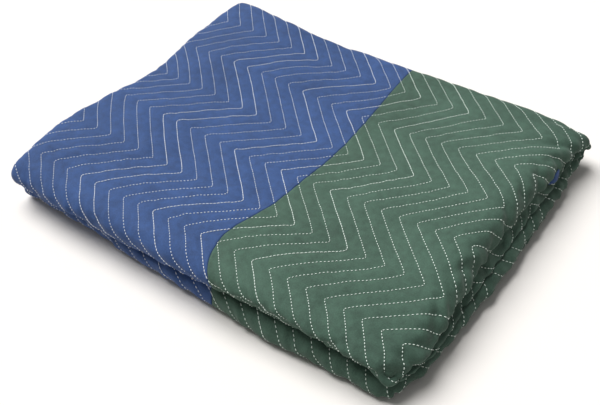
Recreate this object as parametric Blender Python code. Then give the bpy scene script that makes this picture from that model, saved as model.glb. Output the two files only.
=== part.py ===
"""A quilted moving blanket, folded for the shelf.

Two widths of padded cloth, one blue and one green, are joined edge to edge near the middle.
The blanket is folded twice, always with its quilted face outside:

1. across its width, in thirds: both flaps go underneath the middle third, the green one
   first and the blue one under it;
2. along its length, in quarters: both ends go in to the middle, then the whole is shut like
   a book, so two rolls lie at the front and one wide bend wraps round the back.

x runs across the blanket's width, y from the two front rolls to the back bend, z up. The
origin is at the middle of the footprint, on the surface that the blanket lies on.
"""
import math
from collections import namedtuple

import bpy
import bmesh
import numpy as np

# The folded pack, before its unevenness is added (metres)
LEFT_X = -0.300          # where the left-hand bends of the cloth start
RIGHT_X = 0.281          # where the right-hand bends start
FRONT_Y = -0.238         # where the two front rolls start
BACK_Y = 0.225           # where the back bend starts
SEAM_X = 0.029           # the join of the blue and the green cloth, on top
SEAM_GAP = 0.0003

# One pass is the cloth folded in thirds: three layers. Four passes lie on each other.
ROLL_UPPER = 0.0189      # thickness of a pass at the upper front roll
ROLL_LOWER = 0.0119      # and at the lower one, which carries the weight
PASS_BACK = 0.0154       # thickness of every pass at the back
PASS_GAP = 0.0007        # air between two passes
FILL = 0.86              # share of a layer's height that is cloth; the rest is air
LAYERS = 3
HEIGHT = 2 * (ROLL_UPPER + ROLL_LOWER) + 3 * PASS_GAP

# How far a bend reaches out, compared with a half circle
SIDE_NOSE = 1.3
FRONT_NOSE = 1.2
BACK_NOSE = 0.9

# The blue flap stops short of the right side, and the green flap sags beyond it
BLUE_EDGE_INSET = 0.045
SAG_END_INSET = 0.022
GREEN_EDGE_INSET = 0.004
END_INSET = 0.004        # the blanket's two ends, inside the back bend

# Segments of each stretch
LEFT_STEPS = 5
RIGHT_STEPS = 4
LENGTH_STEPS = 7
SIDE_BEND_STEPS = 6
FRONT_BEND_STEPS = 6
BACK_BEND_STEPS = 8

# Where the pack stands higher or lower than its plain height
Swell = namedtuple("Swell", "x y reach_x reach_y rise")
SWELLS = (
    Swell(-0.010, 0.040, 0.110, 0.110, -0.011),    # pressed flat in the middle
    Swell(0.300, 0.020, 0.090, 0.100, 0.013),      # full along the right side
    Swell(-0.300, -0.090, 0.080, 0.070, 0.009),    # full along the left side
    Swell(-0.290, -0.200, 0.060, 0.045, 0.005),
    Swell(-0.230, 0.160, 0.065, 0.080, 0.008),
    Swell(-0.270, 0.250, 0.060, 0.060, 0.007),
    Swell(0.020, -0.245, 0.110, 0.050, 0.005),     # the crown of the upper roll
    Swell(0.305, -0.250, 0.060, 0.060, -0.012),    # front right corner, drawn down
    Swell(-0.320, -0.270, 0.060, 0.040, -0.008),
    Swell(0.100, 0.260, 0.200, 0.050, 0.003),
    Swell(0.310, 0.260, 0.045, 0.045, -0.012),     # back right corner, a dog's ear
    Swell(0.300, 0.000, 0.014, 0.200, -0.013),     # the right-hand bends droop
)

# Where the cloth lies further out, or is drawn in; z and reach_z pick a roll
Push = namedtuple("Push", "x y z reach_x reach_y reach_z dx dy dz", defaults=(0.0,))
ANY = 1.0
PUSHES = (
    Push(0.305, 0.180, 0.030, 0.060, 0.110, ANY, 0.009, 0.000),
    Push(0.305, -0.020, 0.010, 0.050, 0.060, 0.030, 0.003, 0.000),
    Push(0.300, -0.215, 0.030, 0.060, 0.090, ANY, -0.003, 0.000),
    Push(0.310, -0.275, 0.030, 0.060, 0.038, ANY, -0.020, 0.000),
    Push(0.140, -0.255, 0.006, 0.140, 0.060, 0.022, 0.000, -0.010),
    Push(-0.240, -0.250, 0.006, 0.100, 0.060, 0.018, 0.000, 0.008),
    Push(0.060, -0.255, 0.045, 0.110, 0.050, 0.030, 0.000, -0.005),
    Push(-0.200, -0.255, 0.045, 0.140, 0.050, 0.030, 0.000, -0.003),
    Push(-0.312, 0.160, 0.050, 0.060, 0.080, ANY, -0.007, 0.000),
    Push(-0.320, 0.255, 0.055, 0.070, 0.050, ANY, 0.003, 0.014),
    Push(-0.312, 0.015, 0.050, 0.060, 0.060, ANY, 0.011, 0.000),
    Push(0.320, 0.255, 0.008, 0.050, 0.045, 0.020, -0.014, -0.016),
    Push(0.040, 0.020, 0.050, 0.060, 0.090, ANY, 0.008, 0.000),    # the seam wanders
    Push(0.030, -0.190, 0.050, 0.060, 0.040, ANY, -0.006, 0.000),
    Push(0.030, -0.265, 0.050, 0.060, 0.030, ANY, 0.004, 0.000),
    # The right side: the top pass hangs over the one below, and the lowest two stand out
    Push(0.300, 0.000, 0.016, 0.024, 0.190, 0.014, 0.018, 0.000),
    Push(0.300, 0.000, 0.035, 0.026, ANY, 0.008, -0.004, 0.000),
    Push(0.300, 0.000, 0.056, 0.024, 0.130, 0.016, -0.006, 0.000),
    Push(0.292, 0.000, 0.046, 0.010, ANY, 0.010, 0.000, 0.000, -0.007),
    Push(0.292, 0.000, 0.013, 0.012, ANY, 0.007, 0.000, 0.000, -0.004),
    Push(0.300, 0.000, 0.003, 0.024, ANY, 0.006, -0.008, 0.000),
    Push(0.300, -0.215, 0.055, 0.040, 0.060, 0.025, 0.010, 0.000),
    Push(0.300, 0.250, 0.045, 0.035, 0.035, 0.030, 0.015, 0.002),
    # The front: the upper roll is drawn in under its crown, and the groove below it is shallow
    Push(0.160, -0.260, 0.035, 0.130, 0.030, 0.011, 0.000, 0.013),
    Push(0.150, -0.245, 0.026, 0.140, 0.030, 0.014, 0.000, -0.004, 0.010),
    Push(-0.150, -0.245, 0.024, 0.120, 0.026, 0.010, 0.000, -0.006, 0.002),
    # The left side
    Push(-0.320, -0.265, 0.055, 0.050, 0.030, 0.030, 0.006, 0.003),
    Push(-0.312, -0.150, 0.050, 0.060, 0.050, ANY, -0.004, 0.000),
)

Cloth = namedtuple("Cloth", "name colour roughness")
BLUE = Cloth("blue_panel", (0.066, 0.117, 0.292), 0.82)
GREEN = Cloth("green_panel", (0.080, 0.152, 0.113), 0.82)

# A place across the width: the bend (or layer) it belongs to and how far it has turned.
# level and radius are in layer heights; turn is 0 with the face up, pi with it down.
Across = namedtuple("Across", "x level radius turn")
# A place along the length: its middle line, the way its face points, and a layer's height
Along = namedtuple("Along", "y z face_y face_z layer")


def blend(a, b, t):
    return a + (b - a) * t


def steps(start, end, count):
    """Positions after start, up to and including end."""
    return [blend(start, end, i / count) for i in range(1, count + 1)]


def x_stations():
    """The places across the width that all layers share, left to right."""
    left = [LEFT_X] + steps(LEFT_X, SEAM_X, LEFT_STEPS)
    right = steps(SEAM_X, RIGHT_X - BLUE_EDGE_INSET, RIGHT_STEPS)
    return left, right, [RIGHT_X - SAG_END_INSET, RIGHT_X]


def blue_across():
    """Blue, from the free edge of its flap, round the left bend, to the seam on top."""
    left, right, _ = x_stations()
    under = [Across(x, -1, 0, -math.pi) for x in reversed(left[1:] + right)]
    bend = [Across(LEFT_X, 0, 1, blend(-math.pi, 0, i / SIDE_BEND_STEPS))
            for i in range(SIDE_BEND_STEPS + 1)]
    top = [Across(x, 1, 0, 0) for x in left[1:]]
    top[-1] = top[-1]._replace(x=SEAM_X - SEAM_GAP / 2)
    return under + bend + top


def green_across():
    """Green, from the seam on top, round the right bend, to the free edge of its flap."""
    left, right, sag = x_stations()
    top = [Across(x, 1, 0, 0) for x in [SEAM_X + SEAM_GAP / 2] + right + sag[:-1]]
    bend = [Across(RIGHT_X, 0, 1, blend(0, math.pi, i / SIDE_BEND_STEPS))
            for i in range(SIDE_BEND_STEPS + 1)]
    sagging = [Across(sag[0], -1, 0, math.pi)]
    edge = LEFT_X + GREEN_EDGE_INSET
    middle = [edge] + left[1:] + right
    under = [Across(x, 0, 0, math.pi) for x in reversed(middle)]
    return top + bend + sagging + under


def pass_heights(y):
    """Thickness and middle height of the four passes at y, bottom pass first."""
    t = (y - FRONT_Y) / (BACK_Y - FRONT_Y)
    lower = blend(ROLL_LOWER, PASS_BACK, t)
    upper = blend(ROLL_UPPER, PASS_BACK, t)
    floor = 0.0
    rows = []
    for thick in (lower, lower, upper, upper):
        rows.append((thick, floor + thick / 2))
        floor += thick + PASS_GAP
    return rows


def layer_height(thick):
    """From one layer's middle to the next one's, in a pass of this thickness."""
    return thick / (LAYERS - 1 + FILL)


def flat_run(index, ys, face):
    """One pass: its places at ys, with its face up (1) or down (-1)."""
    run = []
    for y in ys:
        thick, middle = pass_heights(y)[index]
        run.append(Along(y, middle, 0.0, face, layer_height(thick)))
    return run


def round_bend(y, low, high, nose, turns):
    """The bend between two passes at y, through the given turns away from straight up."""
    thick, bottom = pass_heights(y)[low]
    top = pass_heights(y)[high][1]
    radius = (top - bottom) / 2
    run = []
    for turn in turns:
        face_y = nose * math.sin(turn)
        face_z = math.cos(turn)
        centre_z = (top + bottom) / 2
        run.append(Along(y + radius * face_y, centre_z + radius * face_z,
                         face_y, face_z, layer_height(thick)))
    return run


def along_places():
    """The blanket's length, end to end, with the sign that keeps facets alike.

    End flap (pass 2), upper roll, top (pass 3), back bend, bottom (pass 0), lower roll,
    end flap (pass 1).
    """
    front_to_back = [FRONT_Y] + steps(FRONT_Y, BACK_Y, LENGTH_STEPS)
    flap = front_to_back[:-1] + [BACK_Y - END_INSET]
    quarter = math.pi / FRONT_BEND_STEPS
    turns = [-math.pi + i * quarter for i in range(1, FRONT_BEND_STEPS)]
    back = [i * math.pi / BACK_BEND_STEPS for i in range(1, BACK_BEND_STEPS)]
    runs = (
        (flat_run(2, reversed(flap), -1), -1),
        (round_bend(FRONT_Y, 2, 3, FRONT_NOSE, turns), 1),
        (flat_run(3, front_to_back, 1), 1),
        (round_bend(BACK_Y, 0, 3, BACK_NOSE, back), 1),
        (flat_run(0, reversed(front_to_back), -1), -1),
        (round_bend(FRONT_Y, 0, 1, FRONT_NOSE, list(reversed(turns))), 1),
        (flat_run(1, flap, 1), 1),
    )
    places = []
    signs = []
    for run, sign in runs:
        places += run
        signs += [sign] * len(run)
    return places, signs


def bump(distance, reach):
    return math.exp(-(distance / reach) ** 2 / 2)


def settle(x, y, z):
    """Move a point of the plain pack to where it lies in the uneven one."""
    rise = sum(s.rise * bump(x - s.x, s.reach_x) * bump(y - s.y, s.reach_y)
               for s in SWELLS)
    z_scale = 1 + rise / HEIGHT
    moved = [x, y, z * z_scale]
    for p in PUSHES:
        share = bump(x - p.x, p.reach_x) * bump(y - p.y, p.reach_y) * bump(z - p.z, p.reach_z)
        moved[0] += p.dx * share
        moved[1] += p.dy * share
        moved[2] += p.dz * share * z / p.z
    return tuple(moved)


def surface_point(across, along, side):
    """A point on the cloth's face (side 1) or its back (side -1)."""
    reach = across.radius + side * FILL / 2
    x = across.x + SIDE_NOSE * along.layer * reach * math.sin(across.turn)
    level = across.level + reach * math.cos(across.turn)
    height = level * along.layer
    y = along.y + height * along.face_y
    z = along.z + height * along.face_z
    return settle(x, y, z)


def sign_of(value):
    return (value > 0) - (value < 0)


def panel_mesh(across, along, signs):
    """The closed sheet over a grid of places: face, back and the four cut edges."""
    mesh = bmesh.new()
    grids = []
    for side in (1, -1):
        grids.append([[mesh.verts.new(surface_point(a, b, side)) for b in along]
                      for a in across])
    last_i = len(across) - 1
    last_j = len(along) - 1
    for grid in grids:
        for i in range(last_i):
            way = sign_of(across[i + 1].x - across[i].x)
            for j in range(last_j):
                ring = [grid[i][j], grid[i + 1][j], grid[i + 1][j + 1], grid[i][j + 1]]
                if way * signs[j] < 0:
                    ring = ring[1:] + ring[:1]
                mesh.faces.new((ring[0], ring[1], ring[2]))
                mesh.faces.new((ring[0], ring[2], ring[3]))
    face, back = grids
    for i in range(last_i):
        for j in (0, last_j):
            mesh.faces.new((face[i][j], face[i + 1][j], back[i + 1][j], back[i][j]))
    for j in range(last_j):
        for i in (0, last_i):
            mesh.faces.new((face[i][j], face[i][j + 1], back[i][j + 1], back[i][j]))
    bmesh.ops.recalc_face_normals(mesh, faces=mesh.faces)
    return mesh


def cloth_material(cloth):
    material = bpy.data.materials.new(cloth.name + "_cloth")
    material.use_nodes = True
    shader = material.node_tree.nodes["Principled BSDF"]
    shader.inputs["Base Color"].default_value = (*cloth.colour, 1.0)
    shader.inputs["Roughness"].default_value = cloth.roughness
    shader.inputs["Metallic"].default_value = 0.0
    return material


def centre(meshes):
    """Bring the middle of the footprint to the origin."""
    points = np.array([v.co for mesh in meshes for v in mesh.verts])
    middle = (points.min(axis=0) + points.max(axis=0)) / 2
    for mesh in meshes:
        bmesh.ops.translate(mesh, verts=mesh.verts, vec=(-middle[0], -middle[1], 0.0))


def add_panel(cloth, mesh, parent):
    data = bpy.data.meshes.new(cloth.name)
    mesh.to_mesh(data)
    mesh.free()
    data.shade_smooth()
    data.set_sharp_from_angle(angle=math.radians(60))
    data.materials.append(cloth_material(cloth))
    panel = bpy.data.objects.new(cloth.name, data)
    panel.parent = parent
    bpy.context.scene.collection.objects.link(panel)


def main():
    for old in list(bpy.data.objects):
        bpy.data.objects.remove(old, do_unlink=True)
    blanket = bpy.data.objects.new("moving_blanket", None)
    bpy.context.scene.collection.objects.link(blanket)
    along, signs = along_places()
    meshes = [panel_mesh(places, along, signs) for places in (blue_across(), green_across())]
    centre(meshes)
    for cloth, mesh in zip((BLUE, GREEN), meshes):
        add_panel(cloth, mesh, blanket)


main()
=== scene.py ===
"""Looks of the folded moving blanket: fine cloth, quilting, stitches, light and camera."""
import math
from collections import namedtuple

import bpy
import numpy as np
from mathutils import Matrix, Vector


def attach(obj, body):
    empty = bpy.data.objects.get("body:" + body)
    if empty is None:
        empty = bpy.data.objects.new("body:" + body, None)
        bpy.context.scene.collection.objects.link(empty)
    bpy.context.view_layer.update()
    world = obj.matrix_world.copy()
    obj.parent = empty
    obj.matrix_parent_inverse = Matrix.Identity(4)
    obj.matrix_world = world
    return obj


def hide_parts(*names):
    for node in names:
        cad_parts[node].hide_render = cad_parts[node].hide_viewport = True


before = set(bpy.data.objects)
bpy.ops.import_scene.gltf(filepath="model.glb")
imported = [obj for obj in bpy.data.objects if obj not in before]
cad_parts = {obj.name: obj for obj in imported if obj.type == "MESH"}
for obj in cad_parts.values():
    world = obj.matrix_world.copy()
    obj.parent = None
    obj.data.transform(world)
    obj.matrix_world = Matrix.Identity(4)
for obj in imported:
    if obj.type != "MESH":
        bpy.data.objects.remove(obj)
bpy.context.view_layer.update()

# ---------------------------------------------------------------------------
# The folded pack, as the CAD model has it (metres)

LEFT_X = -0.300
RIGHT_X = 0.281
FRONT_Y = -0.238
BACK_Y = 0.225
SEAM_X = 0.029
SEAM_GAP = 0.0003
ROLL_UPPER = 0.0189
ROLL_LOWER = 0.0119
PASS_BACK = 0.0154
PASS_GAP = 0.0007
FILL = 0.86              # the cloth's share of a layer, the rest being the gap to the next
LAYERS = 3               # in each pass
HEIGHT = 2 * (ROLL_UPPER + ROLL_LOWER) + 3 * PASS_GAP
SIDE_NOSE = 1.3          # how far a bend stands out, where 1 is round
FRONT_NOSE = 1.2
BACK_NOSE = 0.9
BLUE_EDGE_INSET = 0.045
SAG_END_INSET = 0.022
GREEN_EDGE_INSET = 0.004
END_INSET = 0.004
PACK_MIDDLE = (-0.0032, 0.0007)     # the footprint's middle, before the pack was centred

# A swell raises the pack's top round (x, y), and what is below the top in proportion
Swell = namedtuple("Swell", "x y reach_x reach_y rise")
SWELLS = (
    Swell(-0.010, 0.040, 0.110, 0.110, -0.011),
    Swell(0.300, 0.020, 0.090, 0.100, 0.013),
    Swell(-0.300, -0.090, 0.080, 0.070, 0.009),
    Swell(-0.290, -0.200, 0.060, 0.045, 0.005),
    Swell(-0.230, 0.160, 0.065, 0.080, 0.008),
    Swell(-0.270, 0.250, 0.060, 0.060, 0.007),
    Swell(0.020, -0.245, 0.110, 0.050, 0.005),
    Swell(0.305, -0.250, 0.060, 0.060, -0.012),
    Swell(-0.320, -0.270, 0.060, 0.040, -0.008),
    Swell(0.100, 0.260, 0.200, 0.050, 0.003),
    Swell(0.310, 0.260, 0.045, 0.045, -0.012),
    Swell(0.300, 0.000, 0.014, 0.200, -0.013),
)

# A push moves the cloth round (x, y, z) by (dx, dy, dz), less and less beyond its reach
Push = namedtuple("Push", "x y z reach_x reach_y reach_z dx dy dz", defaults=(0.0,))
ANY = 1.0                # a reach that takes in the whole pack
PUSHES = (
    Push(0.305, 0.180, 0.030, 0.060, 0.110, ANY, 0.009, 0.000),
    Push(0.305, -0.020, 0.010, 0.050, 0.060, 0.030, 0.003, 0.000),
    Push(0.300, -0.215, 0.030, 0.060, 0.090, ANY, -0.003, 0.000),
    Push(0.310, -0.275, 0.030, 0.060, 0.038, ANY, -0.020, 0.000),
    Push(0.140, -0.255, 0.006, 0.140, 0.060, 0.022, 0.000, -0.010),
    Push(-0.240, -0.250, 0.006, 0.100, 0.060, 0.018, 0.000, 0.008),
    Push(0.060, -0.255, 0.045, 0.110, 0.050, 0.030, 0.000, -0.005),
    Push(-0.200, -0.255, 0.045, 0.140, 0.050, 0.030, 0.000, -0.003),
    Push(-0.312, 0.160, 0.050, 0.060, 0.080, ANY, -0.007, 0.000),
    Push(-0.320, 0.255, 0.055, 0.070, 0.050, ANY, 0.003, 0.014),
    Push(-0.312, 0.015, 0.050, 0.060, 0.060, ANY, 0.011, 0.000),
    Push(0.320, 0.255, 0.008, 0.050, 0.045, 0.020, -0.014, -0.016),
    Push(0.300, 0.000, 0.016, 0.024, 0.190, 0.014, 0.018, 0.000),
    Push(0.300, 0.000, 0.035, 0.026, ANY, 0.008, -0.004, 0.000),
    Push(0.300, 0.000, 0.056, 0.024, 0.130, 0.016, -0.006, 0.000),
    Push(0.292, 0.000, 0.046, 0.010, ANY, 0.010, 0.000, 0.000, -0.007),
    Push(0.292, 0.000, 0.013, 0.012, ANY, 0.007, 0.000, 0.000, -0.004),
    Push(0.300, 0.000, 0.003, 0.024, ANY, 0.006, -0.008, 0.000),
    Push(0.300, -0.215, 0.055, 0.040, 0.060, 0.025, 0.010, 0.000),
    Push(0.300, 0.250, 0.045, 0.035, 0.035, 0.030, 0.015, 0.002),
    # The front: the upper roll is drawn in under its crown, and the groove below it is shallow
    Push(0.160, -0.260, 0.035, 0.130, 0.030, 0.011, 0.000, 0.013),
    Push(0.150, -0.245, 0.026, 0.140, 0.030, 0.014, 0.000, -0.004, 0.010),
    Push(-0.150, -0.245, 0.024, 0.120, 0.026, 0.010, 0.000, -0.006, 0.002),
    # The left side
    Push(-0.320, -0.265, 0.055, 0.050, 0.030, 0.030, 0.006, 0.003),
    Push(-0.312, -0.150, 0.050, 0.060, 0.050, ANY, -0.004, 0.000),
    # The front left corner runs out to a point, more than the plain solid does
    Push(-0.316, -0.262, 0.055, 0.016, 0.014, 0.022, -0.006, -0.001),
)
# The seam wanders across the quilting, so these move the cloth but not the stitch rows
SEAM_PUSHES = (
    Push(0.040, 0.020, 0.050, 0.060, 0.090, ANY, 0.008, 0.000),
    Push(0.030, -0.200, 0.050, 0.060, 0.032, ANY, -0.010, 0.000),
    Push(0.030, -0.265, 0.050, 0.060, 0.030, ANY, 0.004, 0.000),
    Push(0.030, -0.268, 0.025, 0.060, 0.017, 0.032, 0.019, 0.000),
)

# ---------------------------------------------------------------------------
# The cloth's own map. u runs across the width and v along the length, in metres of cloth;
# on the top of the pack u is x and v is y. Beyond the top they go on round the bends.

SIDE_BEND = 0.028        # cloth in a side bend
UPPER_BEND = 0.066       # in the upper front roll
LOWER_BEND = 0.042       # in the lower front roll
BACK_BEND = 0.095        # in the back bend
UNDER_CREEP = 0.11       # the underside takes up this much more cloth than it is long

WIDTH_RUN = RIGHT_X - LEFT_X
LENGTH_RUN = BACK_Y - FRONT_Y
U_LEFT_FLAP = LEFT_X - SIDE_BEND
U_RIGHT_FLAP = RIGHT_X + SIDE_BEND
U_BLUE_EDGE = U_LEFT_FLAP - (WIDTH_RUN - BLUE_EDGE_INSET)
U_GREEN_EDGE = U_RIGHT_FLAP + WIDTH_RUN - GREEN_EDGE_INSET
V_FLAP_TOP = FRONT_Y - UPPER_BEND
V_FLAP_END = V_FLAP_TOP - LENGTH_RUN + END_INSET
V_UNDER = BACK_Y + BACK_BEND
V_LOWER = V_UNDER + LENGTH_RUN * (1 + UNDER_CREEP)
V_LAST = V_LOWER + LOWER_BEND
V_LAST_END = V_LAST + LENGTH_RUN - END_INSET

BEND_KNOTS = 24


def smooth(t):
    """0 at 0 and 1 at 1, level at both."""
    return t * t * (3 - 2 * t)


def side_bend_knots(u0, x, start_turn):
    """Knots of the side bend at x, which starts at cloth u0."""
    rows = []
    for i in range(BEND_KNOTS + 1):
        t = i / BEND_KNOTS
        turn = start_turn + math.pi * t
        out = SIDE_NOSE * math.sin(turn)
        rows.append((u0 + SIDE_BEND * t, x, out, math.cos(turn), out, math.cos(turn)))
    return rows


def across_table():
    """Knots across the width: u, x, reach, level, face_x, face_level (reach and level in layers)."""
    rows = []
    for x in (RIGHT_X - BLUE_EDGE_INSET, LEFT_X):
        rows.append((U_LEFT_FLAP - (x - LEFT_X), x, 0.0, -1.0, 0.0, -1.0))
    rows += side_bend_knots(U_LEFT_FLAP, LEFT_X, -math.pi)
    rows += side_bend_knots(RIGHT_X, RIGHT_X, 0.0)
    for i in range(BEND_KNOTS + 1):
        t = i / BEND_KNOTS
        inset = SAG_END_INSET + (BLUE_EDGE_INSET - SAG_END_INSET) * t
        level = -1 + smooth(t)
        rows.append((U_RIGHT_FLAP + inset, RIGHT_X - inset, 0.0, level, 0.0, -1.0))
    rows.append((U_GREEN_EDGE, LEFT_X + GREEN_EDGE_INSET, 0.0, 0.0, 0.0, -1.0))
    return np.array(rows).T


def pass_heights(y):
    """Thickness and middle height of the four passes at y, bottom pass first."""
    t = (y - FRONT_Y) / LENGTH_RUN
    lower = ROLL_LOWER + (PASS_BACK - ROLL_LOWER) * t
    upper = ROLL_UPPER + (PASS_BACK - ROLL_UPPER) * t
    floor = 0.0
    rows = []
    for thick in (lower, lower, upper, upper):
        rows.append((thick, floor + thick / 2))
        floor += thick + PASS_GAP
    return rows


def flat_knot(v, y, index, face):
    """A knot on the flat of one pass, whose face looks up (1) or down (-1)."""
    thick, middle = pass_heights(y)[index]
    return (v, y, middle, 0.0, face, thick / (LAYERS - 1 + FILL))


def bend_knots(v0, v1, y, low, high, nose, turn0, turn1):
    """Knots of the bend at y that joins passes low and high, from cloth v0 to v1."""
    thick, bottom = pass_heights(y)[low]
    top = pass_heights(y)[high][1]
    radius = (top - bottom) / 2
    rows = []
    for i in range(BEND_KNOTS + 1):
        t = i / BEND_KNOTS
        turn = turn0 + (turn1 - turn0) * t
        face_y = nose * math.sin(turn)
        face_z = math.cos(turn)
        rows.append((v0 + (v1 - v0) * t, y + radius * face_y, (top + bottom) / 2 + radius * face_z,
                     face_y, face_z, thick / (LAYERS - 1 + FILL)))
    return rows


def along_table():
    """Knots along the length: v, y, z, face_y, face_z, layer."""
    rows = [flat_knot(V_FLAP_END, BACK_Y - END_INSET, 2, -1.0)]
    rows += [flat_knot(V_FLAP_TOP, FRONT_Y, 2, -1.0)]
    rows += bend_knots(V_FLAP_TOP, FRONT_Y, FRONT_Y, 2, 3, FRONT_NOSE, -math.pi, 0.0)
    rows += [flat_knot(FRONT_Y, FRONT_Y, 3, 1.0), flat_knot(BACK_Y, BACK_Y, 3, 1.0)]
    rows += bend_knots(BACK_Y, V_UNDER, BACK_Y, 0, 3, BACK_NOSE, 0.0, math.pi)
    rows += [flat_knot(V_UNDER, BACK_Y, 0, -1.0), flat_knot(V_LOWER, FRONT_Y, 0, -1.0)]
    rows += bend_knots(V_LOWER, V_LAST, FRONT_Y, 0, 1, FRONT_NOSE, -math.pi, 0.0)
    rows += [flat_knot(V_LAST, FRONT_Y, 1, 1.0), flat_knot(V_LAST_END, BACK_Y - END_INSET, 1, 1.0)]
    return np.array(rows).T


ACROSS = across_table()
ALONG = along_table()


def bump(distance, reach):
    """A bell curve: 1 at no distance, and little beyond twice its reach."""
    return np.exp(-(distance / reach) ** 2 / 2)


def push(x, y, z, rows):
    """How far these pushes move the points in x, y and z."""
    dx = np.zeros_like(x)
    dy = np.zeros_like(x)
    dz = np.zeros_like(x)
    for p in rows:
        share = bump(x - p.x, p.reach_x) * bump(y - p.y, p.reach_y) * bump(z - p.z, p.reach_z)
        dx += p.dx * share
        dy += p.dy * share
        dz += p.dz * share * z / p.z
    return dx, dy, dz


def folded(u, v, side):
    """Where cloth (u, v) lies; side is 1 on the face, -1 on the back and may be in between."""
    x0, reach, level, face_x, face_level = [np.interp(u, ACROSS[0], column) for column in ACROSS[1:]]
    y0, z0, face_y, face_z, layer = [np.interp(v, ALONG[0], column) for column in ALONG[1:]]
    off = side * FILL / 2
    x = x0 + (reach + off * face_x) * layer
    height = (level + off * face_level) * layer
    y = y0 + height * face_y
    z = z0 + height * face_z
    rise = sum(s.rise * bump(x - s.x, s.reach_x) * bump(y - s.y, s.reach_y) for s in SWELLS)
    dx, dy, dz = push(x, y, z, PUSHES + SEAM_PUSHES)
    x = x + dx - PACK_MIDDLE[0]
    y = y + dy - PACK_MIDDLE[1]
    z = z * (1 + rise / HEIGHT) + dz
    return np.stack([x, y, z], -1)


# ---------------------------------------------------------------------------
# Quilting: zigzag rows across the cloth, and the softness between them

ROW = 0.0254             # from one row to the next
ROW_ORIGIN = -0.3086     # u of row 0 at its left-hand corners
ZIG_PERIOD = 0.1597      # along v
ZIG_ORIGIN = -0.2197     # v of a left-hand corner
ZIG_SWING = 0.0798       # how far right the other corners are
CORNER = 0.998           # 1 gives knife-sharp corners
PUFF = 0.0011            # how far the cloth stands up between rows
PUFF_CROWN = 2.4         # higher makes the puffs flatter on top and steeper at the rows
PUFF_MIDDLE = 0.6        # this much of a puff lies below the plain fold
BEND_PUFF = 0.9          # how much more the cloth stands up where a band says 1

NOISE_GRID = 64

# Bell-shaped bands across the cloth, round its bends
Band = namedtuple("Band", "middle reach weight")
PUFF_BANDS_U = (
    Band(U_RIGHT_FLAP - 0.6 * SIDE_BEND, 0.016, 1.0),
    Band(U_LEFT_FLAP + 0.6 * SIDE_BEND, 0.020, -0.5),
)
PUFF_BANDS_V = (
    Band(BACK_Y + 0.2 * BACK_BEND, 0.024, -0.55),
)
FRONT_BANDS_V = (
    Band(FRONT_Y - 0.55 * UPPER_BEND, 0.022, 1.0),
    Band(V_LAST - 0.5 * LOWER_BEND, 0.018, 1.0),
)
RIGHT_BANDS_U = (
    Band(U_RIGHT_FLAP - 0.4 * SIDE_BEND, 0.014, 1.0),
)

# Noise over the cloth. Its own two directions are (u_u * u + u_v * v) and (v_u * u + v_v * v), so
# that a low pair of numbers draws the lumps out into wrinkles. FULLNESS is a share, not a height.
Ripple = namedtuple("Ripple", "height size seed u_u u_v v_u v_v", defaults=(1.0, 0.0, 0.0, 1.0))
FULLNESS = (
    Ripple(0.35, 0.06, 3),
)
WOBBLES = (
    Ripple(0.0010, 0.050, 11),
    Ripple(0.0004, 0.014, 12),
)
LUMPS = (
    Ripple(0.0011, 0.045, 5),
    Ripple(0.0007, 0.018, 6),
)
FRONT_GATHERS = (
    Ripple(0.0015, 0.008, 31, 1.0, 0.5, 0.0, 0.3),
)
RIGHT_GATHERS = (
    Ripple(0.0020, 0.009, 32, 0.3, 0.0, 0.6, 1.0),
    Ripple(0.0016, 0.016, 33, 0.5, 0.0, -1.0, 1.0),
)
PUCKERS = (
    Ripple(0.0009, 0.0075, 21, 0.3, 0.0, 0.0, math.sqrt(2)),
)
PUCKER_FADE = 0.5        # how much weaker the puckers are on top of a puff


def lattice_noise(u, v, size, seed):
    """Smooth noise from -1 to 1 with lumps of about this size."""
    grid = np.random.default_rng(seed).uniform(-1, 1, (NOISE_GRID, NOISE_GRID))
    x = u / size
    y = v / size
    i = np.floor(x).astype(int)
    j = np.floor(y).astype(int)
    fx = smooth(x - i)
    fy = smooth(y - j)
    i0, i1 = i % NOISE_GRID, (i + 1) % NOISE_GRID
    j0, j1 = j % NOISE_GRID, (j + 1) % NOISE_GRID
    low = grid[i0, j0] * (1 - fx) + grid[i1, j0] * fx
    high = grid[i0, j1] * (1 - fx) + grid[i1, j1] * fx
    return low * (1 - fy) + high * fy


def rippled(u, v, rows):
    return sum(r.height * lattice_noise(r.u_u * u + r.u_v * v, r.v_u * u + r.v_v * v, r.size, r.seed)
               for r in rows)


def banded(place, bands):
    return sum(b.weight * bump(place - b.middle, b.reach) for b in bands)


def zig(v):
    """How far right the rows lie at v."""
    turn = 2 * math.pi * (v - ZIG_ORIGIN) / ZIG_PERIOD
    return ZIG_SWING * (0.5 - np.arcsin(CORNER * np.cos(turn)) / math.pi)


def wobble(u, v):
    """The rows don't run quite true."""
    return rippled(u, v, WOBBLES)


# A lump spreads an amount round a place on the cloth
Lump = namedtuple("Lump", "u v reach_u reach_v amount")
# Where the rows lie further right (or left, for an amount below zero) than their pitch says
DRIFTS = (
    Lump(0.030, -0.185, 0.130, 0.024, -0.0050),
    Lump(-0.100, 0.140, 0.060, 0.030, -0.0050),
    Lump(0.080, 0.115, 0.040, 0.030, 0.0030),
    Lump(-0.200, -0.060, 0.080, 0.060, -0.0035),
    Lump(0.100, -0.120, 0.050, 0.040, 0.0025),
    Lump(0.050, 0.045, 0.080, 0.030, 0.0025),
    Lump(0.250, -0.030, 0.040, 0.040, -0.0040),
    Lump(0.220, 0.080, 0.050, 0.030, -0.0040),
    Lump(0.265, -0.228, 0.060, 0.030, -0.0050),
)
# Where the rows' corners lie further along v (for an amount below zero) than their period says
SLIPS = (
    Lump(0.100, -0.222, 0.200, 0.024, -0.0040),
    Lump(-0.095, 0.105, 0.050, 0.034, -0.0050),
)
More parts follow.
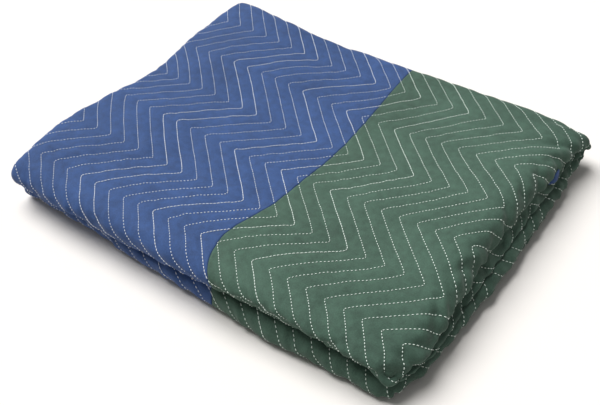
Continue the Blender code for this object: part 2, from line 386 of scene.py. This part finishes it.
# Where the top face rises softly above the plain fold
RISES = (
    Lump(0.030, -0.185, 0.120, 0.026, 0.0032),
    Lump(-0.100, 0.135, 0.060, 0.032, 0.0030),
)


def lumped(u, v, rows):
    return sum(d.amount * bump(u - d.u, d.reach_u) * bump(v - d.v, d.reach_v) for d in rows)


# Creases: a trough where depth is below zero, a ridge where it is above. heading is
# its angle in degrees from the width of the cloth; the reaches are along its line and across it.
Crease = namedtuple("Crease", "u v heading reach_long reach_wide depth")
CREASES = (
    # The right-hand bend, top pass: the channels draw into it
    Crease(0.291, 0.010, -52, 0.020, 0.0050, -0.0050),
    Crease(0.294, -0.034, -70, 0.016, 0.0045, -0.0046),
    Crease(0.283, -0.087, 60, 0.018, 0.0050, -0.0048),
    Crease(0.292, -0.112, -66, 0.014, 0.0040, -0.0036),
    Crease(0.288, -0.140, -60, 0.016, 0.0045, -0.0042),
    Crease(0.284, -0.170, -68, 0.018, 0.0048, -0.0048),
    Crease(0.286, -0.204, 72, 0.014, 0.0042, -0.0040),
    Crease(0.289, -0.226, 20, 0.012, 0.0036, -0.0036),
    Crease(0.284, 0.056, -55, 0.018, 0.0048, -0.0044),
    Crease(0.286, 0.103, -55, 0.018, 0.0046, -0.0046),
    Crease(0.281, 0.146, 64, 0.016, 0.0048, -0.0040),
    Crease(0.276, 0.186, 40, 0.020, 0.0046, -0.0044),
    # The corner between the right side and the front roll
    Crease(0.288, -0.251, 50, 0.008, 0.0052, -0.0080),
    Crease(0.268, -0.268, 20, 0.020, 0.0042, -0.0026),
    # Slack along the front roll
    Crease(0.060, -0.282, 28, 0.024, 0.0040, -0.0024),
    Crease(0.105, -0.270, 40, 0.020, 0.0036, -0.0022),
    Crease(0.150, -0.284, -34, 0.022, 0.0040, -0.0024),
    Crease(0.205, -0.272, 48, 0.020, 0.0036, -0.0024),
    Crease(0.245, -0.284, 30, 0.018, 0.0040, -0.0026),
    Crease(-0.015, -0.284, 24, 0.026, 0.0040, -0.0018),
    Crease(-0.085, -0.282, -26, 0.024, 0.0040, -0.0018),
    Crease(-0.185, -0.284, 22, 0.026, 0.0044, -0.0018),
    # The left bend and the back bend
    Crease(-0.312, -0.110, 68, 0.018, 0.0050, -0.0024),
    Crease(-0.310, -0.020, -62, 0.016, 0.0050, -0.0022),
    Crease(-0.314, 0.075, 66, 0.018, 0.0055, -0.0026),
    Crease(-0.308, 0.165, -64, 0.016, 0.0050, -0.0022),
    Crease(-0.120, 0.244, 6, 0.034, 0.0060, -0.0028),
    Crease(-0.235, 0.236, -22, 0.026, 0.0055, -0.0022),
    Crease(0.030, 0.250, 8, 0.030, 0.0055, -0.0018),
    Crease(0.165, 0.242, -10, 0.034, 0.0055, -0.0020),
    Crease(0.262, 0.240, 38, 0.022, 0.0050, -0.0028),
    # The lower roll
    Crease(-0.150, 0.855, 10, 0.030, 0.0050, -0.0018),
    Crease(0.040, 0.858, -12, 0.030, 0.0050, -0.0018),
    Crease(0.190, 0.854, 14, 0.026, 0.0050, -0.0020),
)


def creased(u, v):
    total = np.zeros_like(u)
    for c in CREASES:
        turn = math.radians(c.heading)
        along = (u - c.u) * math.cos(turn) + (v - c.v) * math.sin(turn)
        across = (v - c.v) * math.cos(turn) - (u - c.u) * math.sin(turn)
        total += c.depth * bump(along, c.reach_long) * bump(across, c.reach_wide)
    return total


def seam_shift(u, v):
    """How far right the seam's pushes move the cloth here, which the rows don't follow."""
    return push(u, v, np.full_like(u, HEIGHT), SEAM_PUSHES)[0]


def row_number(u, v):
    """Which row lies at cloth (u, v); between two rows it isn't whole."""
    across = u + seam_shift(u, v) + wobble(u, v) - lumped(u, v, DRIFTS)
    return (across - zig(v + lumped(u, v, SLIPS)) - ROW_ORIGIN) / ROW


def relief(u, v):
    """Height of the face above the plain fold: puffs between the rows, and soft lumps."""
    rows = row_number(u, v)
    away = np.abs(rows - np.round(rows)) * 2
    pillow = 1 - (1 - away) ** PUFF_CROWN
    fullness = 1 + rippled(u, v, FULLNESS)
    bends = banded(u, PUFF_BANDS_U) + banded(v, PUFF_BANDS_V)
    puffs = PUFF * fullness * (1 + BEND_PUFF * bends) * (pillow - PUFF_MIDDLE)
    puckers = rippled(rows * ROW, v, PUCKERS) * (1 - PUCKER_FADE * pillow)
    gathers = (banded(v, FRONT_BANDS_V) * rippled(u, v, FRONT_GATHERS)
               + banded(u, RIGHT_BANDS_U) * rippled(u, v, RIGHT_GATHERS))
    lumps = rippled(u, v, LUMPS) + lumped(u, v, RISES)
    return puffs + puckers + gathers + lumps + creased(u, v)


# ---------------------------------------------------------------------------
# Meshes

FINE = 0.0026            # from one place of the mesh to the next, on the cloth that shows
BACK_FINE = 0.00338      # round the back bend
MEDIUM = 0.0052          # on the underside and the tucked flaps
COARSE = 0.028           # across the layers inside
TUCK = 0.020             # of the blue flap, next to its bend, is meshed at MEDIUM
SKIP = 3                 # the hidden back of the cloth keeps every third place
NORMAL_STEP = 0.0006     # cloth to either side of a point, to find its normal
TINY = 1e-12


def run(start, end, size):
    """Places from start to end, without end, about this far apart."""
    count = max(1, round(abs(end - start) / size))
    return [start + (end - start) * i / count for i in range(count)]


def blue_places():
    near = U_LEFT_FLAP - TUCK
    seam = SEAM_X - SEAM_GAP / 2
    return (run(U_BLUE_EDGE, near, COARSE) + run(near, U_LEFT_FLAP, MEDIUM)
            + run(U_LEFT_FLAP, LEFT_X, FINE) + run(LEFT_X, seam, FINE) + [seam])


def green_places():
    near = U_RIGHT_FLAP + BLUE_EDGE_INSET
    return (run(SEAM_X + SEAM_GAP / 2, RIGHT_X, FINE) + run(RIGHT_X, U_RIGHT_FLAP, FINE)
            + run(U_RIGHT_FLAP, near, MEDIUM) + run(near, U_GREEN_EDGE, COARSE) + [U_GREEN_EDGE])


def length_places():
    return (run(V_FLAP_END, V_FLAP_TOP, MEDIUM) + run(V_FLAP_TOP, FRONT_Y, FINE)
            + run(FRONT_Y, BACK_Y, FINE) + run(BACK_Y, V_UNDER, BACK_FINE)
            + run(V_UNDER, V_LOWER, MEDIUM) + run(V_LOWER, V_LAST, FINE)
            + run(V_LAST, V_LAST_END, MEDIUM) + [V_LAST_END])


def thin_out(places):
    """Indices of the places that the back keeps, both ends among them."""
    kept = list(range(0, len(places), SKIP))
    if kept[-1] != len(places) - 1:
        kept.append(len(places) - 1)
    return kept


def unit(vectors):
    return vectors / np.maximum(np.linalg.norm(vectors, axis=-1, keepdims=True), TINY)


def face_points(u, v):
    """Points on the quilted face, and its normals before quilting."""
    here = folded(u, v, 1.0)
    across = folded(u + NORMAL_STEP, v, 1.0) - folded(u - NORMAL_STEP, v, 1.0)
    along = folded(u, v + NORMAL_STEP, 1.0) - folded(u, v - NORMAL_STEP, 1.0)
    normal = unit(np.cross(across, along))
    return here + normal * relief(u, v)[..., None], normal


def cloth_face(u, v):
    """The quilted face, flat where it presses on what it rests on."""
    face = face_points(u, v)[0]
    face[..., 2] = np.maximum(face[..., 2], 0.0)
    return face


def add_object(name, data):
    thing = bpy.data.objects.new(name, data)
    bpy.context.scene.collection.objects.link(thing)
    return thing


def cloth_object(name, us, vs):
    """One width of cloth: a fine quilted face, a plain back and closed cut edges."""
    u, v = np.meshgrid(np.array(us), np.array(vs), indexing="ij")
    face = cloth_face(u, v)
    keep_u = thin_out(us)
    keep_v = thin_out(vs)
    ub, vb = u[np.ix_(keep_u, keep_v)], v[np.ix_(keep_u, keep_v)]
    back = folded(ub, vb, -1.0)
    nu, nv = u.shape
    mu, mv = ub.shape
    offset = nu * nv
    points = np.concatenate([face.reshape(-1, 3), back.reshape(-1, 3)])
    flat = np.concatenate([np.stack(places, -1).reshape(-1, 2) for places in ((u, v), (ub, vb))])

    def front(i, j):
        return i * nv + j

    def rear(i, j):
        return offset + i * mv + j

    faces = [(front(i, j), front(i + 1, j), front(i + 1, j + 1), front(i, j + 1))
             for i in range(nu - 1) for j in range(nv - 1)]
    faces += [(rear(i, j), rear(i, j + 1), rear(i + 1, j + 1), rear(i + 1, j))
              for i in range(mu - 1) for j in range(mv - 1)]
    for j, b in ((0, 0), (nv - 1, mv - 1)):
        for a in range(mu - 1):
            edge = [front(i, j) for i in range(keep_u[a], keep_u[a + 1] + 1)]
            ring = edge + [rear(a + 1, b), rear(a, b)]
            faces.append(tuple(ring if j else reversed(ring)))
    for i, a in ((0, 0), (nu - 1, mu - 1)):
        for b in range(mv - 1):
            edge = [front(i, j) for j in range(keep_v[b], keep_v[b + 1] + 1)]
            ring = edge + [rear(a, b + 1), rear(a, b)]
            faces.append(tuple(reversed(ring) if i else ring))
    data = bpy.data.meshes.new(name)
    data.from_pydata(points.tolist(), [], faces)
    layer = data.uv_layers.new(name="cloth")
    loops = np.empty(len(data.loops), dtype=np.int32)
    data.loops.foreach_get("vertex_index", loops)
    layer.data.foreach_set("uv", flat[loops].astype(np.float32).ravel())
    data.shade_smooth()
    data.update()
    return add_object(name, data)


TONGUE_START = (0.2988, 0.121, 0.0425)
TONGUE_END = (0.2990, 0.157, 0.0475)
TONGUE_BULGE = 0.0030            # how far its middle stands out
TONGUE_HALF_HEIGHT = 0.0044
TONGUE_HALF_THICKNESS = 0.0020
TONGUE_TAPER = 1.2               # higher makes its ends thinner
TONGUE_WAVE = 0.18               # its outline is uneven by this share
TONGUE_WAVES = 7                 # radians of that wave along it
TONGUE_LEAN = 0.45               # its top leans in this much for each metre of height
TONGUE_STEPS = 18
TONGUE_SIDES = 14


def tongue_object(name):
    """The small leaf of blue that comes out between two passes on the right."""
    start = np.array(TONGUE_START)
    end = np.array(TONGUE_END)
    points = [tuple(start)]
    for i in range(1, TONGUE_STEPS):
        t = i / TONGUE_STEPS
        swell = math.sin(math.pi * t) ** TONGUE_TAPER * (1 + TONGUE_WAVE * math.sin(TONGUE_WAVES * t))
        middle = start + (end - start) * t + np.array((TONGUE_BULGE * math.sin(math.pi * t), 0, 0))
        for k in range(TONGUE_SIDES):
            turn = 2 * math.pi * k / TONGUE_SIDES
            out = TONGUE_HALF_THICKNESS * swell * math.cos(turn)
            up = TONGUE_HALF_HEIGHT * swell * math.sin(turn)
            points.append((middle[0] + out - TONGUE_LEAN * up, middle[1], middle[2] + up))
    points.append(tuple(end))
    last = len(points) - 1
    faces = []
    for k in range(TONGUE_SIDES):
        after = (k + 1) % TONGUE_SIDES
        faces.append((0, 1 + k, 1 + after))
        for i in range(TONGUE_STEPS - 2):
            a = 1 + i * TONGUE_SIDES
            b = a + TONGUE_SIDES
            faces.append((a + k, b + k, b + after, a + after))
        a = 1 + (TONGUE_STEPS - 2) * TONGUE_SIDES
        faces.append((a + k, last, a + after))
    data = bpy.data.meshes.new(name)
    data.from_pydata(points, [], faces)
    layer = data.uv_layers.new(name="cloth")
    for loop in data.loops:
        at = points[loop.vertex_index]
        layer.data[loop.index].uv = (at[1], at[2])
    data.shade_smooth()
    return add_object(name, data)


# ---------------------------------------------------------------------------
# Stitches

STITCH_PITCH = 0.0042
STITCH_LONG = 0.0028
STITCH_SPREAD = (0.92, 1.06)     # shortest and longest, as shares of its length
CLOSE_ROWS = (4, 5, 9, 12, 15)   # sewn with hardly a gap between the stitches
CLOSE_LONG = 0.0041
SPARE_ROWS = 2                   # looked at beyond a window, because the rows wander
SETTLE_ROUNDS = 3                # rounds that bring a stitch's u onto its row
SEAM_CLEAR = 0.0005              # no stitch's middle is closer to the seam
THREAD = 0.00050                 # thread radius
THREAD_SIDES = 5
# Along a stitch: the share of its length, the height above the cloth and the girth
THREAD_SHARES = (0.0, 0.16, 0.5, 0.84, 1.0)
THREAD_LIFTS = (-0.0007, 0.0002, 0.00045, 0.0002, -0.0007)
THREAD_GIRTHS = (0.0, 0.9, 1.0, 0.9, 0.0)


def stitch_marks(u_low, u_high, v_low, v_high, seed):
    """Start and end (u, v) of every stitch whose middle lies in the window."""
    rng = np.random.default_rng(seed)
    first = int((u_low - ZIG_SWING - ROW_ORIGIN) / ROW) - SPARE_ROWS
    last = int((u_high - ROW_ORIGIN) / ROW) + SPARE_ROWS
    step = STITCH_PITCH / math.sqrt(2)
    starts = []
    ends = []
    for row in range(first, last + 1):
        v = np.arange(v_low + rng.uniform(0, step), v_high, step)
        length = CLOSE_LONG if row in CLOSE_ROWS else STITCH_LONG
        half = length / math.sqrt(2) / 2 * rng.uniform(*STITCH_SPREAD, len(v))
        for shift, out in ((-1, starts), (1, ends)):
            at = v + shift * half
            u = ROW_ORIGIN + row * ROW + zig(at)
            for _ in range(SETTLE_ROUNDS):
                corners = zig(at + lumped(u, at, SLIPS))
                u = (ROW_ORIGIN + row * ROW + corners + lumped(u, at, DRIFTS)
                     - wobble(u, at) - seam_shift(u, at))
            out.append(np.stack([u, at], -1))
    starts = np.concatenate(starts)
    ends = np.concatenate(ends)
    middle = (starts + ends) / 2
    inside = (middle[:, 0] > u_low) & (middle[:, 0] < u_high)
    return starts[inside], ends[inside]


def on_mesh(us, vs, face, u, v):
    """Points of the meshed face at cloth (u, v)."""
    i = np.clip(np.searchsorted(us, u) - 1, 0, len(us) - 2)
    j = np.clip(np.searchsorted(vs, v) - 1, 0, len(vs) - 2)
    a = np.clip((u - us[i]) / (us[i + 1] - us[i]), 0, 1)[..., None]
    b = np.clip((v - vs[j]) / (vs[j + 1] - vs[j]), 0, 1)[..., None]
    near = face[i, j] * (1 - a) + face[i + 1, j] * a
    far = face[i, j + 1] * (1 - a) + face[i + 1, j + 1] * a
    return near * (1 - b) + far * b


def stitch_faces(size):
    """Faces of one stitch of this many points: a point, rings of THREAD_SIDES and a point."""
    last_ring = size - 1 - THREAD_SIDES
    faces = []
    for s in range(THREAD_SIDES):
        t = (s + 1) % THREAD_SIDES
        faces.append((0, 1 + t, 1 + s))
        for a in range(1, last_ring, THREAD_SIDES):
            b = a + THREAD_SIDES
            faces.append((a + s, a + t, b + t, b + s))
        faces.append((last_ring + s, last_ring + t, size - 1))
    return faces


def thread_object(name, us, vs, windows):
    """All the stitches in these windows of cloth, each a short bowed length of thread."""
    us = np.array(us)
    vs = np.array(vs)
    face = cloth_face(*np.meshgrid(us, vs, indexing="ij"))
    marks = [stitch_marks(*window) for window in windows]
    start = np.concatenate([m[0] for m in marks])
    end = np.concatenate([m[1] for m in marks])
    lifts = np.array(THREAD_LIFTS)
    path = start[:, None, :] + (end - start)[:, None, :] * np.array(THREAD_SHARES)[None, :, None]
    normal = face_points(path[..., 0], path[..., 1])[1]
    points = on_mesh(us, vs, face, path[..., 0], path[..., 1]) + normal * lifts[None, :, None]
    way = unit(points[:, -1] - points[:, 0])[:, None, :]
    side = unit(np.cross(normal, np.broadcast_to(way, normal.shape)))
    up = unit(np.cross(np.broadcast_to(way, normal.shape), side))
    angles = 2 * math.pi * np.arange(THREAD_SIDES) / THREAD_SIDES
    inner = range(1, len(THREAD_GIRTHS) - 1)
    rings = [points[:, k, None, :] + THREAD * THREAD_GIRTHS[k]
             * (np.cos(angles)[None, :, None] * side[:, k, None, :]
                + np.sin(angles)[None, :, None] * up[:, k, None, :]) for k in inner]
    body = np.concatenate([points[:, :1], *rings, points[:, -1:]], axis=1)
    body[..., 2] = np.maximum(body[..., 2], 0.0)
    size = body.shape[1]
    stitch = stitch_faces(size)
    faces = [tuple(i + base for i in f) for base in range(0, len(body) * size, size) for f in stitch]
    data = bpy.data.meshes.new(name)
    data.from_pydata(body.reshape(-1, 3).tolist(), [], faces)
    data.shade_smooth()
    return add_object(name, data)


# ---------------------------------------------------------------------------
# Materials


def node(tree, kind, **attributes):
    made = tree.nodes.new("ShaderNode" + kind)
    for key, value in attributes.items():
        setattr(made, key, value)
    return made


def feed(tree, sockets, values):
    """Link each value that is an output to its socket, and set the others."""
    for socket, value in zip(sockets, values):
        if hasattr(value, "is_output"):
            tree.links.new(value, socket)
        else:
            socket.default_value = value


def maths(tree, operation, *values):
    made = node(tree, "Math", operation=operation)
    feed(tree, made.inputs, values)
    return made.outputs[0]


def noise(tree, vector, scale, detail=2.0):
    made = node(tree, "TexNoise", noise_dimensions="2D")
    made.inputs["Scale"].default_value = scale
    made.inputs["Detail"].default_value = detail
    tree.links.new(vector, made.inputs["Vector"])
    return made.outputs["Fac"]


def mix_colour(tree, share, low, high):
    """The colour from low to high; in a mix node the colours' sockets are 6 and 7."""
    made = node(tree, "Mix", data_type="RGBA")
    feed(tree, (made.inputs[0], made.inputs[6], made.inputs[7]), (share, low, high))
    return made.outputs[2]


DARKEST = 0.72           # of the cloth's own colour, where the dye and the wear leave it
LIGHTEST = 1.28
Mottle = namedtuple("Mottle", "scale detail share")
PATCHES = Mottle(11.0, 3.0, 0.8)
STREAKS = Mottle(110.0, 3.0, 1.1)
SPECKS = Mottle(600.0, 1.0, 0.8)
MIDDLE = 0.5             # of a noise, and of the way from darkest to lightest
SMOOTHEST = 0.74         # roughness of the cloth, and how much rougher its streaks are
STREAK_ROUGHNESS = 0.12
WEAVE_SCALE = 260.0
WEAVE_DISTORTION = 0.6
WEAVE_HEIGHT = 0.15
CRINKLE_SCALE = 130.0
CRINKLE_DETAIL = 2.0
CRINKLE_HEIGHT = 0.9
BUMP_STRENGTH = 0.6
BUMP_DISTANCE = 0.0006
CLOTH_FINISH = {"Sheen Weight": 0.08, "Sheen Roughness": 0.45, "Specular IOR Level": 0.28}

THREAD_FINISH = {"Roughness": 0.6, "Sheen Weight": 0.2}
THREAD_NOISE_SCALE = 220.0
WORN = 0.82              # of the thread's own colour, where it is dirty

FLOOR_FINISH = {"Base Color": (0.78, 0.75, 0.72, 1), "Roughness": 0.9}

BLUE = (0.0323, 0.0719, 0.194)
GREEN = (0.0503, 0.0981, 0.0710)
BLUE_THREAD = (0.92, 0.95, 1.0)
GREEN_THREAD = (0.86, 0.97, 0.89)


def new_material(name, finish):
    """A material, its node tree and its shader, with the shader's finish set."""
    material = bpy.data.materials.new(name)
    material.use_nodes = True
    shader = material.node_tree.nodes["Principled BSDF"]
    for socket, value in finish.items():
        shader.inputs[socket].default_value = value
    return material, material.node_tree, shader


def tinted(colour, share):
    return (*(c * share for c in colour), 1)


def swing(tree, value, share):
    """The value's swing about its middle, times share."""
    return maths(tree, "MULTIPLY", maths(tree, "SUBTRACT", value, MIDDLE), share)


def weave_height(tree, uv):
    """The woven threads and the crinkles of the cloth, too small for the mesh."""
    warp = node(tree, "TexWave", bands_direction="X", wave_profile="SIN")
    weft = node(tree, "TexWave", bands_direction="Y", wave_profile="SIN")
    for wave in (warp, weft):
        wave.inputs["Scale"].default_value = WEAVE_SCALE
        wave.inputs["Distortion"].default_value = WEAVE_DISTORTION
        tree.links.new(uv, wave.inputs["Vector"])
    weave = maths(tree, "MULTIPLY", warp.outputs["Fac"], weft.outputs["Fac"])
    crinkles = noise(tree, uv, CRINKLE_SCALE, CRINKLE_DETAIL)
    return maths(tree, "ADD", maths(tree, "MULTIPLY", weave, WEAVE_HEIGHT),
                 maths(tree, "MULTIPLY", crinkles, CRINKLE_HEIGHT))


def cloth_material(name, colour):
    """Plain-woven polyester: fine weave, faint mottling, a soft sheen."""
    material, tree, shader = new_material(name, CLOTH_FINISH)
    uv = node(tree, "UVMap", uv_map="cloth").outputs[0]
    patches, streaks, specks = [noise(tree, uv, m.scale, m.detail) for m in (PATCHES, STREAKS, SPECKS)]
    shade = maths(tree, "ADD", swing(tree, patches, PATCHES.share), swing(tree, streaks, STREAKS.share))
    shade = maths(tree, "ADD", shade, swing(tree, specks, SPECKS.share))
    shade = maths(tree, "ADD", shade, MIDDLE)
    dyed = mix_colour(tree, shade, tinted(colour, DARKEST), tinted(colour, LIGHTEST))
    tree.links.new(dyed, shader.inputs["Base Color"])
    rough = maths(tree, "MULTIPLY_ADD", streaks, STREAK_ROUGHNESS, SMOOTHEST)
    tree.links.new(rough, shader.inputs["Roughness"])
    bumps = node(tree, "Bump")
    bumps.inputs["Strength"].default_value = BUMP_STRENGTH
    bumps.inputs["Distance"].default_value = BUMP_DISTANCE
    tree.links.new(weave_height(tree, uv), bumps.inputs["Height"])
    tree.links.new(bumps.outputs[0], shader.inputs["Normal"])
    return material


def thread_material(name, colour):
    """Spun thread, a little dirty in places."""
    material, tree, shader = new_material(name, THREAD_FINISH)
    dirt = node(tree, "TexNoise")
    dirt.inputs["Scale"].default_value = THREAD_NOISE_SCALE
    tree.links.new(node(tree, "TexCoord").outputs["Object"], dirt.inputs["Vector"])
    dyed = mix_colour(tree, dirt.outputs["Fac"], tinted(colour, WORN), tinted(colour, 1))
    tree.links.new(dyed, shader.inputs["Base Color"])
    return material


# ---------------------------------------------------------------------------
# Floor, light and camera

TARGET = Vector((0.0405, -0.0749, 0.030))
AZIMUTH = math.radians(36.0)
ELEVATION = math.radians(42.4)
ROLL = math.radians(-1.64)
DISTANCE = 1.051
LENS = 48.24             # focal length and sensor in millimetres
SENSOR = 36.0
SIGHT = 50.0             # how far the camera sees

AMBIENT = 0.22
KEY_TOWARD = (-0.95, 0.15, 1.6)
KEY_SPREAD = 45
KEY_STRENGTH = 1.365

FLOOR_HALF = 30.0
FLOOR_DROP = 0.0005      # the floor lies this far below the blanket


def make_camera():
    camera = bpy.data.cameras.new("camera")
    camera.lens = LENS
    camera.sensor_width = SENSOR
    camera.clip_end = SIGHT
    thing = add_object("camera", camera)
    back = Vector((math.sin(AZIMUTH) * math.cos(ELEVATION), -math.cos(AZIMUTH) * math.cos(ELEVATION),
                   math.sin(ELEVATION)))
    right = Vector((0, 0, 1)).cross(back).normalized()
    up = back.cross(right)
    aim = Matrix((right, up, back)).transposed().to_4x4()
    place = Matrix.Translation(TARGET + back * DISTANCE)
    thing.matrix_world = place @ aim @ Matrix.Rotation(ROLL, 4, "Z")
    bpy.context.scene.camera = thing


def sun(name, toward, spread, strength):
    """Even light from one side of the sky; spread is the angle it covers."""
    light = bpy.data.lights.new(name, "SUN")
    light.energy = strength * math.pi
    light.angle = math.radians(spread)
    thing = add_object(name, light)
    thing.rotation_euler = (-Vector(toward)).to_track_quat("-Z", "Y").to_euler()
    thing.location = toward


def make_floor():
    data = bpy.data.meshes.new("floor")
    half = FLOOR_HALF
    corners = [(-half, -half, 0), (half, -half, 0), (half, half, 0), (-half, half, 0)]
    data.from_pydata(corners, [], [(0, 1, 2, 3)])
    data.materials.append(new_material("floor_paint", FLOOR_FINISH)[0])
    floor = add_object("floor", data)
    floor.location.z = -FLOOR_DROP


def make_world():
    world = bpy.data.worlds.new("studio")
    world.use_nodes = True
    background = world.node_tree.nodes["Background"]
    background.inputs["Color"].default_value = (1, 1, 1, 1)
    background.inputs["Strength"].default_value = AMBIENT
    bpy.context.scene.world = world
    bpy.context.scene.view_settings.view_transform = "Standard"


# ---------------------------------------------------------------------------
# The pieces

# Stretches along the cloth that get stitches: start, end and seed
SHOWN = ((V_FLAP_TOP, V_UNDER, 1), (V_UNDER, V_LAST, 2))           # right across the pack
TUCKED = ((V_FLAP_END, V_FLAP_TOP, 3), (V_LAST, V_LAST_END, 5))    # round the side bends only


def main():
    make_camera()
    make_floor()
    make_world()
    sun("key", KEY_TOWARD, KEY_SPREAD, KEY_STRENGTH)
    blue = cloth_object("blue_cloth", blue_places(), length_places())
    green = cloth_object("green_cloth", green_places(), length_places())
    blue_threads = thread_object("blue_stitches", blue_places(), length_places(),
                                 [(U_LEFT_FLAP, SEAM_X - SEAM_CLEAR, *w) for w in SHOWN]
                                 + [(U_LEFT_FLAP, LEFT_X, *w) for w in TUCKED])
    green_threads = thread_object("green_stitches", green_places(), length_places(),
                                  [(SEAM_X + SEAM_CLEAR, U_RIGHT_FLAP, *w) for w in SHOWN]
                                  + [(RIGHT_X, U_RIGHT_FLAP, *w) for w in TUCKED])
    tongue = tongue_object("blue_tongue")
    blue.data.materials.append(cloth_material("blue_polyester", BLUE))
    green.data.materials.append(cloth_material("green_polyester", GREEN))
    tongue.data.materials.append(blue.data.materials[0])
    blue_threads.data.materials.append(thread_material("blue_thread", BLUE_THREAD))
    green_threads.data.materials.append(thread_material("green_thread", GREEN_THREAD))
    for piece, part, slot in ((blue, "blue_panel", "blue_cloth"), (green, "green_panel", "green_cloth")):
        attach(piece, "root")
        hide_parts(part)
    for piece, slot in ((blue_threads, "blue_cloth"), (tongue, "blue_cloth"), (green_threads, "green_cloth")):
        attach(piece, "root")


main()
